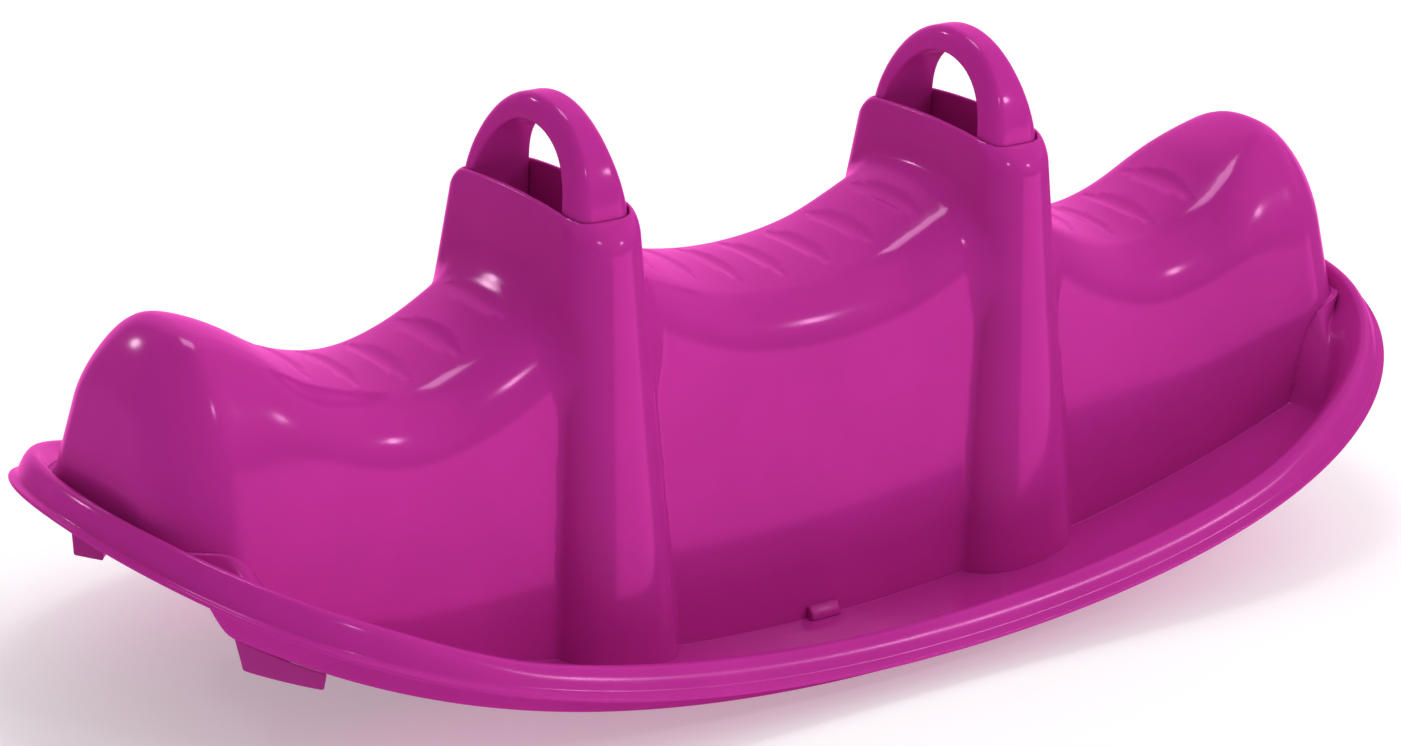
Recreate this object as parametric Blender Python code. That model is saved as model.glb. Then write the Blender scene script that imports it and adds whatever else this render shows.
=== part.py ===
"""Three-seat rocking seesaw for small children: a moulded seat shell on a rocker tray, with two hoop handles.

X runs along the length, -Y is one long side, +Z is up, and the origin is on the floor under the centre.
Lengths are in millimetres here and become metres when a mesh is made.
"""

import math

import bmesh
import bpy

MM = 0.001

# Rocker tray
HALF_LENGTH = 515.0
HALF_WIDTH = 217.0
PLAN_POWER_X = 5.0
PLAN_POWER_Y = 2.15
WALL = 3.0
GAP = 0.3
CHANNEL_DEPTH = 19.0
LIP_RISE = 21.843
LIP_CURVE = (104.0, 15.4)
REST_FLAT = 20.0
STEP_START = 415.0
STEP_END = 472.0
PLATFORM_Z = 142.0
SKIRT_START = 452.0
SKIRT_END = 478.0
CREST_LIFT = 7.0
INNER_LEDGE = 27.0
LEDGE_LIFT = 9.0

# Stop feet, with their extents along the rim
FOOT_TOP_RANGE = (412.0, 452.0)
FOOT_BOTTOM_RANGE = (413.3, 448.9)
FOOT_BOTTOM_Z = 61.2
FOOT_BOTTOM_SLOPE = 0.218

# Seat shell
SHELL_WALL = 3.5
BODY_HALF_LENGTH = 485.0
BODY_TOP_HALF_LENGTH = 482.0
BODY_HALF_WIDTH = 95.5
BODY_END_FLARE = 9.0
BODY_TOP_HALF_WIDTH = 73.0
BODY_CORNER = 50.0
MIDDLE_SEAT_Z = 226.0
END_SEAT_Z = 206.0
END_SEAT_X = 303.0
HUMP_X = 446.0
HUMP_Z = 258.0

# Towers and handles
TOWER_X = 169.0
TOWER_TOP_HALF_DEPTH = 28.5
TOWER_BASE_HALF_DEPTH = 52.0
TOWER_TOP_HALF_WIDTH = 82.0
TOWER_BASE_HALF_WIDTH = 124.0
TOWER_TOP_Z = 301.0
TOWER_TOP_CURVE = 0.001
TOWER_END_ROUND = 14.0
TOWER_SHOULDER_Z = 282.0
POCKET_FLOOR_Z = 238.0
HANDLE_TOP_Z = 359.0
HANDLE_SPRING_Z = 285.0
HANDLE_HALF_SPAN = 66.0
HANDLE_THICKNESS = 16.5
POCKET_HALF_DEPTH = 23.8
HANDLE_CORNER = 14.0
HANDLE_SECTION = (
    (-1.0, 0.152),
    (-0.955, 0.476),
    (-0.826, 0.752),
    (-0.632, 0.935),
    (-0.404, 1.0),
    (0.404, 1.0),
    (0.632, 0.935),
    (0.826, 0.752),
    (0.955, 0.476),
    (1.0, 0.152),
    (0.91, 0.0),
    (-0.91, 0.0),
)

# Stations along the body's straight sides, steps round its corners and rows across it
SIDE_X = (0, 20, 50, 85, 120, 150, 185, 219, 255, 300, 340, 375, 400, 414, 420, 427, 435)
CORNER_STEPS = 6
ACROSS = 6

# Seat grips: rows of shallow lens-shaped dimples
DIMPLE_PITCH = 37.0
DIMPLE_HALF = (9.5, 38.0, 6.0)
DIMPLE_DEPTH = 3.0

# Fasteners
SCREW_SHAFT = 2.0
SCREW_HEAD = 4.0
SCREW_HEAD_HEIGHT = 2.6
SCREW_CLEARANCE = 2.3
BOSS = 6.5
BASE_SCREW_OFFSET = 19.0
BASE_SCREW_X = (60.0, 285.0, 400.0)
FOOT_SCREW = (432.0, 108.0)
FOOT_SCREW_LENGTH = 29.0
FOOT_POST_TOP = 87.0
HANDLE_SCREW_Y = 57.75


def clear_scene():
    for obj in list(bpy.data.objects):
        bpy.data.objects.remove(obj)


def lerp(a, b, t):
    return a + (b - a) * t


def smooth(t):
    t = max(0.0, min(1.0, t))
    return t * t * (3.0 - 2.0 * t)


def through(points, x):
    """Value at x of a smooth curve through (x, value) points, with Catmull-Rom slopes."""
    if x <= points[0][0]:
        return points[0][1]
    for i in range(len(points) - 1):
        x0, v0 = points[i]
        x1, v1 = points[i + 1]
        if x > x1:
            continue
        xa, va = points[max(i - 1, 0)]
        xb, vb = points[min(i + 2, len(points) - 1)]
        m0 = (v1 - va) / (x1 - xa)
        m1 = (vb - v0) / (xb - x0)
        h = x1 - x0
        t = (x - x0) / h
        return (
            v0 * (2 * t**3 - 3 * t**2 + 1)
            + m0 * h * (t**3 - 2 * t**2 + t)
            + v1 * (3 * t**2 - 2 * t**3)
            + m1 * h * (t**3 - t**2)
        )
    return points[-1][1]


def lip_z(x):
    """Height of the rim's lip, which follows the rocker."""
    u = max(abs(x), REST_FLAT) / HALF_LENGTH
    return LIP_RISE + LIP_CURVE[0] * u**2 + LIP_CURVE[1] * u**4


def crest_lift(x):
    """How much higher the rim's crest stands over its lip towards the ends."""
    return CREST_LIFT * smooth((abs(x) - 290.0) / 130.0)


def footwell_z(x):
    return lip_z(x) - CHANNEL_DEPTH


def skirt_end_z(x):
    """Height of the rim's inner corner round the ends, where there is no footwell."""
    return lip_z(x) + 9.0 + 0.6 * crest_lift(x)


def floor_z(x):
    """Upper face of the footwell floor, which ramps up to a platform round each end."""
    return lerp(footwell_z(x), PLATFORM_Z, platform_share(x))


def platform_share(x):
    """0 in the footwell and 1 on the platform: the riser starts in a short curve and flattens out above."""
    t = max(0.0, min((abs(x) - STEP_START) / (STEP_END - STEP_START), 1.0))
    t = 1.05 * t * t / (t + 0.05)
    return 1.0 - (1.0 - t) ** 3


def floor_depth(x):
    """Upright depth of the tray's floor, greater on the risers so that its wall stays as thick there."""
    nose = platform_share(x)
    return WALL + 22.0 * nose * (1 - nose)


def skirt_share(x):
    return smooth((abs(x) - SKIRT_START) / (SKIRT_END - SKIRT_START))


def skirt_z(x):
    """Bottom edge of the skirt outside the footwell, which keeps its depth past the riser."""
    return lerp(footwell_z(x), skirt_end_z(x), skirt_share(x)) - WALL


def seat_z(x):
    """Crest line of the three seats and the two end humps, at y = 0."""
    points = (
        (0.0, MIDDLE_SEAT_Z),
        (38.0, MIDDLE_SEAT_Z + 2.5),
        (75.0, MIDDLE_SEAT_Z + 10.0),
        (108.0, MIDDLE_SEAT_Z + 23.0),
        (135.0, MIDDLE_SEAT_Z + 34.0),
        (TOWER_X, MIDDLE_SEAT_Z + 30.0),
        (200.0, MIDDLE_SEAT_Z + 20.0),
        (219.0, END_SEAT_Z + 28.0),
        (255.0, END_SEAT_Z + 10.0),
        (END_SEAT_X, END_SEAT_Z),
        (340.0, END_SEAT_Z + 6.0),
        (375.0, END_SEAT_Z + 20.0),
        (405.0, END_SEAT_Z + 38.0),
        (428.0, HUMP_Z - 4.0),
        (HUMP_X, HUMP_Z),
        (470.0, HUMP_Z - 6.0),
    )
    return through(points, abs(x))


def new_object(name, solids, at=(0.0, 0.0, 0.0)):
    """One object from closed solids, each a pair of points and faces, with its origin at this place."""
    verts = []
    faces = []
    for points, sides in solids:
        faces += [tuple(len(verts) + k for k in side) for side in sides]
        verts += [tuple((p - origin) * MM for p, origin in zip(point, at)) for point in points]
    mesh = bpy.data.meshes.new(name)
    mesh.from_pydata(verts, [], faces)
    obj = bpy.data.objects.new(name, mesh)
    obj.location = [origin * MM for origin in at]
    bpy.context.scene.collection.objects.link(obj)
    bm = bmesh.new()
    bm.from_mesh(mesh)
    bmesh.ops.remove_doubles(bm, verts=bm.verts, dist=0.00001)
    bmesh.ops.recalc_face_normals(bm, faces=bm.faces)
    if bm.calc_volume(signed=True) < 0:
        bmesh.ops.reverse_faces(bm, faces=bm.faces)
    bm.to_mesh(mesh)
    bm.free()
    mesh.shade_smooth()
    mesh.set_sharp_from_angle(angle=math.radians(35))
    return obj


def combine(obj, operation, name, solids):
    """Boolean of a helper made from these solids onto obj."""
    other = new_object(name, solids)
    other.hide_render = True
    other.display_type = "WIRE"
    modifier = obj.modifiers.new(name, "BOOLEAN")
    modifier.operation = operation
    modifier.solver = "EXACT"
    modifier.object = other


def stacked(rings):
    """Closed solid through equal rings, capped at both ends."""
    count = len(rings[0])
    verts = [p for ring in rings for p in ring]
    faces = [tuple(range(count)), tuple(range(len(verts) - count, len(verts)))]
    for k in range(0, len(verts) - count, count):
        for j in range(count):
            n = (j + 1) % count
            faces.append((k + j, k + n, k + count + n, k + count + j))
    return verts, faces


def looped(sections):
    """Closed solid swept round a loop of equal cross-sections."""
    count = len(sections[0])
    verts = [p for section in sections for p in section]
    faces = []
    for i in range(len(sections)):
        here = i * count
        ahead = (i + 1) % len(sections) * count
        for k in range(count):
            n = (k + 1) % count
            faces.append((here + k, ahead + k, ahead + n))
            faces.append((here + k, ahead + n, here + n))
    return verts, faces


def cylinder(x, y, z, tilt, low, high, radius, sides=10):
    """Cylinder on an axis through (x, y, z) that leans by tilt along the object, from low to high on it."""
    rings = []
    for along in (low, high):
        ring = []
        for j in range(sides):
            a = 2 * math.pi * j / sides
            across = radius * math.cos(a)
            px = x + across * math.cos(tilt) - along * math.sin(tilt)
            pz = z + across * math.sin(tilt) + along * math.cos(tilt)
            ring.append((px, y + radius * math.sin(a), pz))
        rings.append(ring)
    return stacked(rings)


def body_rows(half_length, half_width, corner, flare=0.0):
    """Half-widths at the stations along x: straight sides, then the corner arc up to the end row."""
    rows = []
    straight = half_length - corner
    for x in SIDE_X:
        x = x * straight / SIDE_X[-1]
        rows.append((x, half_width + flare * (x / straight) ** 2))
    wide = half_width + flare
    for k in range(1, CORNER_STEPS + 1):
        a = math.pi / 2 * k / CORNER_STEPS
        rows.append((straight + corner * math.sin(a), wide - corner * (1 - math.cos(a))))
    return [(-x, y) for x, y in reversed(rows[1:])] + rows


def body_ring(rows):
    """The rows' outline as one loop of (x, y), with each end row divided across."""
    near = [(x, -y) for x, y in rows]
    x_end, y_end = rows[-1]
    right = [(x_end, lerp(-y_end, y_end, m / ACROSS)) for m in range(1, ACROSS)]
    far = [(x, y) for x, y in reversed(rows)]
    left = [(-x_end, lerp(y_end, -y_end, m / ACROSS)) for m in range(1, ACROSS)]
    return near + right + far + left


def edge_round(x):
    return lerp(25.0, 36.0, smooth((abs(x) - 370.0) / 70.0))


def crown(x):
    return lerp(11.0, 16.0, smooth((abs(x) - 380.0) / 60.0))


def wall_top(x):
    """Height at which the side wall turns into the rounded edge of the seat."""
    return seat_z(x) - crown(x) - edge_round(x)


def body_solid(inset, below):
    """The seat body, shrunk by inset all round and carried down by below under the footwell floor."""
    corner = BODY_CORNER - inset * 0.5
    base = body_rows(BODY_HALF_LENGTH - inset, BODY_HALF_WIDTH - inset, corner, BODY_END_FLARE)
    top = body_rows(BODY_TOP_HALF_LENGTH - inset, BODY_TOP_HALF_WIDTH - inset, corner - 4.0)
    top_ring = body_ring(top)
    base_ring = body_ring(base)
    low = []
    high = []
    for (bx, by), (tx, ty) in zip(base_ring, top_ring):
        z0 = footwell_z(bx)
        z1 = wall_top(tx)
        bottom = floor_z(bx) - below
        share = (bottom - z0) / (z1 - z0)
        low.append((lerp(bx, tx, share), lerp(by, ty, share), bottom))
        high.append((tx, ty, z1))
    rings = [low, high]
    steps = 2 if inset else 4
    for k in range(1, steps + 1):
        a = math.pi / 2 * k / steps
        ring = []
        for x, y in top_ring:
            r = edge_round(x) - inset
            shift = r * (1 - math.cos(a))
            scale_x = 1.0 - shift / (BODY_TOP_HALF_LENGTH - inset) * smooth((abs(x) - 380.0) / 90.0)
            scale_y = 1.0 - shift / (BODY_TOP_HALF_WIDTH - inset)
            z = wall_top(x) + r * math.sin(a)
            ring.append((x * scale_x, y * scale_y, z))
        rings.append(ring)
    verts = [p for ring in rings for p in ring]
    count = len(top_ring)
    faces = []
    for k in range(len(rings) - 1):
        for j in range(count):
            n = (j + 1) % count
            faces.append((k * count + j, k * count + n, (k + 1) * count + n, (k + 1) * count + j))

    def close(ring_index, lift):
        """Fills a ring with rows across it. lift gives each inner point's height."""
        start = ring_index * count
        stations = len(top)
        grid = []
        for i in range(stations):
            near = start + i
            far = start + stations + ACROSS - 1 + (stations - 1 - i)
            if i == 0:
                row = [near] + [start + count - m for m in range(1, ACROSS)] + [far]
            elif i == stations - 1:
                row = [near] + [start + stations - 1 + m for m in range(1, ACROSS)] + [far]
            else:
                row = [near]
                for m in range(1, ACROSS):
                    share = m / ACROSS
                    a, b = verts[near], verts[far]
                    point = [lerp(a[c], b[c], share) for c in range(3)]
                    point[2] += lift(point[0], 2 * share - 1, i, stations)
                    row.append(len(verts))
                    verts.append(tuple(point))
                row.append(far)
            grid.append(row)
        for i in range(stations - 1):
            for m in range(ACROSS):
                faces.append((grid[i][m], grid[i + 1][m], grid[i + 1][m + 1], grid[i][m + 1]))

    def crest(x, side, i, stations):
        from_end = min(i, stations - 1 - i)
        return crown(x) * (1 - side * side) * smooth(from_end / CORNER_STEPS)

    close(len(rings) - 1, crest)
    close(0, lambda x, side, i, stations: 0.0)
    if inset:
        ceiling = POCKET_FLOOR_Z - WALL
        verts = [(x, y, min(z, ceiling) if abs(abs(x) - TOWER_X) < 30 else z) for x, y, z in verts]
    return verts, faces


def tower_outline(z, inset):
    """Plan of a tower at height z as (half-depth, y) rows: flat faces with a rounded column at each end."""
    share = (z - 8.0) / (TOWER_SHOULDER_Z - 8.0)
    half_depth = lerp(TOWER_BASE_HALF_DEPTH, TOWER_TOP_HALF_DEPTH, share) - inset
    half_width = lerp(TOWER_BASE_HALF_WIDTH, TOWER_TOP_HALF_WIDTH, share) - inset
    end = lerp(46.0, 25.0, share) - inset
    rows = []
    for k in range(7):
        a = math.pi / 2 * k / 6
        rows.append((half_depth * math.sin(a), half_width - end + end * math.cos(a)))
    flat = half_width - end
    rows += [(half_depth, flat * 0.6), (half_depth, flat * 0.25)]
    return [(x, -y) for x, y in rows] + [(x, y) for x, y in reversed(rows)]


def eased(ring, by, level):
    """The ring with its two ends drawn in by this much, at these heights."""
    reach = max(y for _, y, _ in ring)
    moved = []
    for x, y, _ in ring:
        across = y - math.copysign(by * smooth((abs(y) - 45.0) / (reach - 45.0)), y)
        moved.append((x, across, level(across)))
    return moved


def tower_solid(x, inset, heights, top=None):
    """A tower between the lowest and highest of these heights. top gives the upper face's height at y."""
    rings = []
    for z in heights:
        rows = tower_outline(z, inset)
        right = [(x + depth, y, z) for depth, y in rows]
        left = [(x - depth, y, z) for depth, y in reversed(rows[1:-1])]
        rings.append(right + left)
    if top:
        rings.append(eased(rings[-1], TOWER_END_ROUND * 0.3, lambda y: (2 * heights[-1] + top(y)) / 3))
        rings.append(eased(rings[-2], TOWER_END_ROUND * 0.7, top))
    count = len(rings[0])
    verts = [p for ring in rings for p in ring]
    faces = []
    for k in range(0, len(verts) - count, count):
        for j in range(count):
            n = (j + 1) % count
            faces.append((k + j, k + n, k + count + n, k + count + j))
    rows = len(rings[0]) // 2 + 1
    for start in (0, len(verts) - count):
        for i in range(rows - 1):
            corners = [start + i, start + i + 1, start + (count - i - 1) % count, start + (count - i) % count]
            faces.append(tuple(dict.fromkeys(corners)))
    return verts, faces


def tower_top(y):
    return TOWER_TOP_Z - TOWER_TOP_CURVE * y * y


def pocket_solid(x):
    """Open pocket in a tower's top, which takes the handle's two legs."""
    rings = []
    corner = HANDLE_CORNER + GAP
    half_depth = POCKET_HALF_DEPTH
    half_width = HANDLE_HALF_SPAN + GAP
    for z in (POCKET_FLOOR_Z, TOWER_TOP_Z + 10.0):
        ring = []
        for sx, sy, turn in ((1, -1, -90), (1, 1, 0), (-1, 1, 90), (-1, -1, 180)):
            for k in range(5):
                a = math.radians(turn + 22.5 * k)
                cx = x + sx * (half_depth - corner)
                cy = sy * (half_width - corner)
                ring.append((cx + corner * math.cos(a), cy + corner * math.sin(a), z))
        rings.append(ring)
    return stacked(rings)


def handle_solid(x):
    """Hoop from leg to leg over the tower: a band with a rounded outer face that narrows to the crown."""
    path = []
    for z in (POCKET_FLOOR_Z + GAP, 256.0, 272.0):
        path.append((-1.0, z, 0.0))
    for k in range(21):
        a = math.pi * k / 20
        path.append((-math.cos(a), HANDLE_SPRING_Z, a))
    for z in (272.0, 256.0, POCKET_FLOOR_Z + GAP):
        path.append((1.0, z, math.pi))
    rise = HANDLE_TOP_Z - HANDLE_SPRING_Z
    rings = []
    for side, z, a in path:
        outer = (side * HANDLE_HALF_SPAN, z + rise * math.sin(a))
        inner = (side * (HANDLE_HALF_SPAN - HANDLE_THICKNESS), z + (rise - HANDLE_THICKNESS) * math.sin(a))
        half_depth = lerp(POCKET_HALF_DEPTH - GAP, 14.5, smooth(math.sin(a)))
        ring = []
        for depth, through_share in HANDLE_SECTION:
            y = lerp(inner[0], outer[0], through_share)
            ring.append((x + depth * half_depth, y, lerp(inner[1], outer[1], through_share)))
        rings.append(ring)
    return stacked(rings)


def lens(x, z, tilt):
    """Shallow dimple cutter: a flattened ball lying across the seat and bent to its crown."""
    half_x, half_y, half_z = DIMPLE_HALF
    rings = []
    for k in range(1, 5):
        up = math.pi * k / 5
        ring = []
        for j in range(12):
            a = 2 * math.pi * j / 12
            px = half_x * math.sin(up) * math.cos(a)
            py = half_y * math.sin(up) * math.sin(a)
            sag = crown(x) * (py / (BODY_TOP_HALF_WIDTH - edge_round(x))) ** 2
            pz = half_z * math.cos(up) - sag
            along = px * math.cos(tilt) - pz * math.sin(tilt)
            up_by = px * math.sin(tilt) + pz * math.cos(tilt)
            ring.append((x + along, py, z + up_by))
        rings.append(ring)
    return stacked(rings)


def crest_at(x):
    """Height of the crest line between the shell's stations."""
    xs = [station for station, _ in body_rows(BODY_TOP_HALF_LENGTH, BODY_TOP_HALF_WIDTH, BODY_CORNER - 4.0)]
    for a, b in zip(xs, xs[1:]):
        if x <= b:
            return lerp(seat_z(a), seat_z(b), (x - a) / (b - a))
    return seat_z(x)


def dimples():
    rows = [k * DIMPLE_PITCH for k in range(-3, 4)]
    for side in (-1, 1):
        rows += [side * (END_SEAT_X - 11.0 + k * DIMPLE_PITCH) for k in range(-2, 3)]
    made = []
    for x in rows:
        tilt = math.atan((crest_at(x + 8) - crest_at(x - 8)) / 16)
        made.append(lens(x, crest_at(x) + DIMPLE_HALF[2] - DIMPLE_DEPTH, tilt))
    return made


def lip_point(turn, inset):
    """Point on a quarter of the rim's plan, inset square to it. turn is 0 at the side and 1 at the tip."""
    a = math.pi / 2 * turn
    x = HALF_LENGTH * math.sin(a) ** (2 / PLAN_POWER_X)
    y = HALF_WIDTH * math.cos(a) ** (2 / PLAN_POWER_Y)
    nx = PLAN_POWER_X / HALF_LENGTH * (x / HALF_LENGTH) ** (PLAN_POWER_X - 1)
    ny = PLAN_POWER_Y / HALF_WIDTH * (y / HALF_WIDTH) ** (PLAN_POWER_Y - 1)
    n = math.hypot(nx, ny)
    return x - inset * nx / n, y - inset * ny / n


def lip_turn(x, inset):
    """The turn at which the inset rim plan reaches this x."""
    low, high = 0.0, 1.0
    for _ in range(50):
        middle = (low + high) / 2
        if lip_point(middle, inset)[0] < x:
            low = middle
        else:
            high = middle
    return low


def tray_stations():
    """Stations round a quarter of the tray: the wall's foot, its outward direction and the rim's place."""
    straight = BODY_HALF_LENGTH - BODY_CORNER
    base = body_rows(BODY_HALF_LENGTH, BODY_HALF_WIDTH, BODY_CORNER, BODY_END_FLARE)
    top = body_rows(BODY_TOP_HALF_LENGTH, BODY_TOP_HALF_WIDTH, BODY_CORNER - 4.0)
    half = len(base) // 2
    pairs = list(zip(base[half:], top[half:]))
    across = ACROSS // 2
    for k in range(1, across + 1):
        (bx, by), (tx, ty) = pairs[len(SIDE_X) + CORNER_STEPS - 1]
        pairs.append(((bx, by * (1 - k / across)), (tx, ty * (1 - k / across))))
    stations = []
    for i, ((bx, by), (tx, ty)) in enumerate(pairs):
        share = (floor_z(bx) - footwell_z(bx)) / (wall_top(tx) - footwell_z(bx))
        x = lerp(bx, tx, share)
        y = lerp(by, ty, share)
        k = i - len(SIDE_X) + 1
        angle = math.pi / 2 * max(0.0, min(k / CORNER_STEPS, 1.0))
        ahead = max(0.0, k / (CORNER_STEPS + across))

        def place(inset, x=x, ahead=ahead):
            return lerp(lip_turn(min(x, straight), inset), 1.0, ahead)

        stations.append((x, y, math.sin(angle), math.cos(angle), place))
    return stations


def tray_section(station, seat_only=False):
    """Section of the tray from the rim's lip in to the inner ledge, or of the shell's seat on the tray."""
    wall_x, wall_y, nx, ny, place = station
    nose = platform_share(wall_x)
    edge = skirt_share(lip_point(place(30.0), 30.0)[0])

    def out(inset, rise, lift=1.0):
        x, y = lip_point(place(inset), inset)
        return x, y, lip_z(x) + rise + lift * crest_lift(x)

    def foot(inset, lift):
        x, y = lip_point(place(inset), inset)
        return x, y, lerp(footwell_z(x), skirt_end_z(x), nose) + lift

    def skirt(inset):
        x, y = lip_point(place(inset), inset)
        return x, y, skirt_z(x)

    def into(offset, lift):
        return wall_x - nx * offset, wall_y - ny * offset, floor_z(wall_x) + lift

    base = lerp(37.5, 24.0, edge)
    deep = floor_depth(wall_x)
    if seat_only:
        outside = lerp(37.5, 24.0, nose)
        return [
            foot(outside, 30.0),
            foot(outside + 0.5, GAP),
            into(SHELL_WALL + 2.2, GAP),
            into(INNER_LEDGE + 6.0, GAP),
            into(INNER_LEDGE + 6.0, -70.0),
            foot(outside, -70.0),
        ]
    return [
        out(0.0, -1.5, 0.0),
        out(0.0, 1.5, 0.0),
        out(4.0, 3.5, 0.0),
        out(14.0, 15.0),
        out(17.5, 17.0),
        out(lerp(22.0, 20.5, edge), lerp(15.5, 14.5, edge)),
        out(lerp(30.0, 22.5, edge), max(lerp(6.0, 11.0, edge), lerp(6.0, 11.0, nose))),
        foot(base + 0.5, 0.0),
        into(SHELL_WALL + 2.2, 0.0),
        into(SHELL_WALL + 4.0, LEDGE_LIFT),
        into(INNER_LEDGE, LEDGE_LIFT),
        into(INNER_LEDGE, LEDGE_LIFT - deep),
        into(SHELL_WALL + 4.0 + WALL, LEDGE_LIFT - deep),
        into(SHELL_WALL + 2.2 + WALL, -deep),
        foot(base + 3.0, -deep),
        skirt(base + 1.2),
        skirt(base - 2.0),
        out(lerp(27.5, 20.0, edge), lerp(3.5, 7.5, edge)),
        out(lerp(21.0, 18.5, edge), lerp(12.0, 11.5, edge)),
        out(17.0, 13.8),
        out(6.5, 2.2, 0.0),
        out(4.0, -1.5, 0.0),
    ]


def round_the_tray(seat_only=False):
    """The quarter's sections carried round all four quarters as one loop."""
    quarter = [tray_section(station, seat_only) for station in tray_stations()]
    sections = list(quarter)
    sections += [[(x, -y, z) for x, y, z in section] for section in reversed(quarter[:-1])]
    sections += [[(-x, -y, z) for x, y, z in section] for section in quarter[1:]]
    sections += [[(-x, y, z) for x, y, z in section] for section in reversed(quarter[1:-1])]
    return looped(sections)


def foot_bottom(x):
    return FOOT_BOTTOM_Z + FOOT_BOTTOM_SLOPE * (abs(x) - FOOT_BOTTOM_RANGE[0])


def foot_solid(x_sign, y_sign):
    """Stop foot under the end of a footwell: a block that follows the skirt's plan and rises behind it."""
    rings = []
    for k in range(7):
        ring = []
        for inset, bottom in ((38.5, True), (58.0, True), (58.0, False), (38.5, False)):
            reach = FOOT_BOTTOM_RANGE if bottom else FOOT_TOP_RANGE
            x, y = lip_point(lip_turn(lerp(*reach, k / 6), 38.0), inset)
            if bottom:
                z = foot_bottom(x)
            elif inset < 50.0:
                z = skirt_z(x) - 2 * GAP
            else:
                z = max(floor_z(x) - floor_depth(x) - 9.0, foot_bottom(x) + 5.0)
            ring.append((x_sign * x, y_sign * y, z))
        rings.append(ring)
    return stacked(rings)


def boss_height(x):
    """How far a screw boss rises before its side has run into the leaning wall."""
    lean = BODY_HALF_WIDTH + BODY_END_FLARE * (x / BODY_HALF_LENGTH) ** 2 - BODY_TOP_HALF_WIDTH
    lean /= wall_top(x) - footwell_z(x)
    return (BASE_SCREW_OFFSET - BOSS - SHELL_WALL + 2.3) / lean


def slope_at(x):
    return math.atan((floor_z(x + 2) - floor_z(x - 2)) / 4)


def base_screw_places():
    """Where a screw goes up through the tray's ledge into the shell: x, y, ledge height and lean."""
    places = []
    for x in BASE_SCREW_X:
        y = BODY_HALF_WIDTH + BODY_END_FLARE * (x / BODY_HALF_LENGTH) ** 2 - BASE_SCREW_OFFSET
        for x_sign in (-1, 1):
            for y_sign in (-1, 1):
                places.append((x_sign * x, y_sign * y, floor_z(x) + LEDGE_LIFT, slope_at(x_sign * x)))
    return places


def screw(name, x, y, z, tilt, head, shaft_end):
    """Pan-head screw: the head's top face lies head above the place, and the shaft ends at shaft_end."""
    disc = cylinder(x, y, z, tilt, head - SCREW_HEAD_HEIGHT, head, SCREW_HEAD)
    obj = new_object(name, [disc], (x, y, z))
    shaft = cylinder(x, y, z, tilt, head - 1.0, shaft_end, SCREW_SHAFT)
    combine(obj, "UNION", name + "_shaft_helper", [shaft])
    bottom = head - SCREW_HEAD_HEIGHT
    recess = cylinder(x, y, z, tilt, bottom - 1.0, bottom + 1.3, 1.7, 6)
    combine(obj, "DIFFERENCE", name + "_recess_helper", [recess])
    return obj


def material(name, colour, roughness, metallic=0.0):
    made = bpy.data.materials.new(name)
    made.use_nodes = True
    shader = made.node_tree.nodes["Principled BSDF"]
    shader.inputs["Base Color"].default_value = (*colour, 1.0)
    shader.inputs["Roughness"].default_value = roughness
    shader.inputs["Metallic"].default_value = metallic
    made.diffuse_color = (*colour, 1.0)
    return made


def build_shell():
    shell = new_object("seat_shell", [body_solid(0.0, 12.0)])
    towers = (-TOWER_X, TOWER_X)
    outer = (-10.0, 8.0, 70.0, 150.0, 220.0, 260.0, TOWER_SHOULDER_Z)
    inner = (-20.0, 8.0, 150.0, POCKET_FLOOR_Z - WALL)
    for side, x in zip("ab", towers):
        combine(shell, "UNION", "tower_helper_" + side, [tower_solid(x, 0.0, outer, tower_top)])
    combine(shell, "DIFFERENCE", "hollow_helper", [body_solid(SHELL_WALL, 40.0)])
    combine(shell, "DIFFERENCE", "tower_hollow_helper", [tower_solid(x, SHELL_WALL, inner) for x in towers])
    combine(shell, "DIFFERENCE", "pocket_helper", [pocket_solid(x) for x in towers])
    combine(shell, "DIFFERENCE", "underside_helper", [round_the_tray(seat_only=True)])
    combine(shell, "DIFFERENCE", "dimple_helper", dimples())
    bosses = []
    holes = []
    for x, y, z, tilt in base_screw_places():
        bosses.append(cylinder(x, y, z, tilt, 4 * GAP, boss_height(x) - LEDGE_LIFT, BOSS))
        holes.append(cylinder(x, y, z, tilt, -5.0, 26.0, SCREW_CLEARANCE))
    for x in towers:
        for y in (-HANDLE_SCREW_Y, HANDLE_SCREW_Y):
            holes.append(cylinder(x, y, POCKET_FLOOR_Z, 0.0, -WALL - 2.0, 2.0, SCREW_CLEARANCE))
    combine(shell, "UNION", "boss_helper", bosses)
    combine(shell, "DIFFERENCE", "screw_hole_helper", holes)
    return shell


def build_tray():
    tray = new_object("rocker_tray", [round_the_tray()])
    holes = []
    for x, y, z, tilt in base_screw_places():
        holes.append(cylinder(x, y, z, tilt, -WALL - 4.0, 4.0, SCREW_CLEARANCE))
    for x_sign in (-1, 1):
        for y_sign in (-1, 1):
            x, y = x_sign * FOOT_SCREW[0], y_sign * FOOT_SCREW[1]
            tip = foot_bottom(FOOT_SCREW[0]) + 6.0 + FOOT_SCREW_LENGTH
            holes.append(cylinder(x, y, tip, 0.0, -30.0, 2 * GAP, SCREW_CLEARANCE))
    combine(tray, "DIFFERENCE", "tray_hole_helper", holes)
    return tray


def build_handle(name, x):
    handle = new_object(name, [handle_solid(x)], (x, 0.0, POCKET_FLOOR_Z + GAP))
    holes = []
    for y in (-HANDLE_SCREW_Y, HANDLE_SCREW_Y):
        holes.append(cylinder(x, y, POCKET_FLOOR_Z, 0.0, -2.0, 24.0, SCREW_CLEARANCE))
    combine(handle, "DIFFERENCE", name + "_hole_helper", holes)
    return handle


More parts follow.
